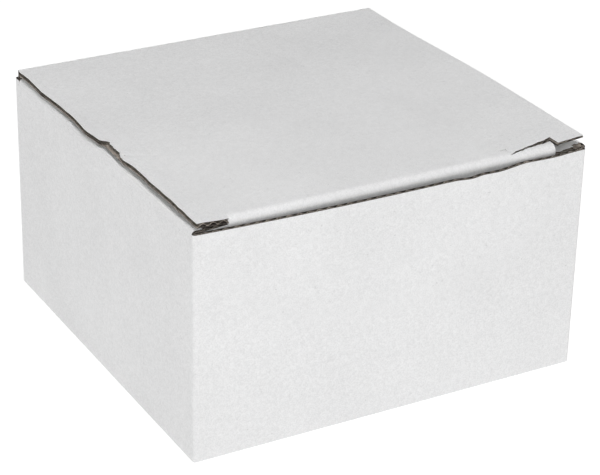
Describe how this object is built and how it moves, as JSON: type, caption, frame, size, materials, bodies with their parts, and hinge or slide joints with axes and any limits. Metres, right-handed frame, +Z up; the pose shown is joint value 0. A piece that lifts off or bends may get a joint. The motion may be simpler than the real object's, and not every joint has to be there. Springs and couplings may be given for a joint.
{
  "type": "cryogenic storage box",
  "caption": "Square white corrugated board freezer box with a hinged tuck-in lid, dust flaps, a snap-lock bottom and a slotted divider that holds cryogenic vials upright.",
  "frame": {"origin": "centre of the carton's footprint, on the surface that it stands on", "axes": "+X along the width, to the right of someone who faces the tuck side; +Y from the tuck side to the lid's crease; +Z up"},
  "size_m": [0.135, 0.131, 0.0784],
  "materials": {
    "carton_board": "uncoated white liner on micro-corrugated board",
    "divider_board": "uncoated solid bleached board"
  },
  "bodies": {
    "carton": {"front_wall": "carton_board", "left_wall": "carton_board", "back_wall": "carton_board", "right_wall": "carton_board", "glue_flap": "carton_board", "bottom_front_flap": "carton_board", "bottom_left_flap": "carton_board", "bottom_right_flap": "carton_board", "bottom_back_flap": "carton_board", "divider_row_1": "divider_board", "divider_row_2": "divider_board", "divider_row_3": "divider_board", "divider_row_4": "divider_board", "divider_column_1": "divider_board", "divider_column_2": "divider_board", "divider_column_3": "divider_board", "divider_column_4": "divider_board"},
    "lid": {"lid_panel": "carton_board"},
    "tuck": {"tuck_flap": "carton_board"},
    "left_dust": {"left_dust_flap": "carton_board"},
    "right_dust": {"right_dust_flap": "carton_board"}
  },
  "joints": [
    {"name": "lid_hinge", "type": "hinge", "parent": "carton", "child": "lid", "pos_m": [0, 0.06475, 0.07765], "axis": [-1, 0, 0], "range_deg": [0, 175]},
    {"name": "tuck_crease", "type": "hinge", "parent": "lid", "child": "tuck", "pos_m": [0, -0.06315, 0.07765], "axis": [-1, 0, 0], "range_deg": [0, 87.5]},
    {"name": "left_dust_crease", "type": "hinge", "parent": "carton", "child": "left_dust", "pos_m": [-0.06675, 0, 0.07595], "axis": [0, -1, 0], "range_deg": [0, 105]},
    {"name": "right_dust_crease", "type": "hinge", "parent": "carton", "child": "right_dust", "pos_m": [0.06675, 0, 0.07595], "axis": [0, 1, 0], "range_deg": [0, 105]}
  ],
  "couplings": [
    {"joint": "tuck_crease", "follows": "lid_hinge", "ratio": 0.5},
    {"joint": "left_dust_crease", "follows": "lid_hinge", "ratio": 0.6},
    {"joint": "right_dust_crease", "follows": "lid_hinge", "ratio": 0.6}
  ]
}
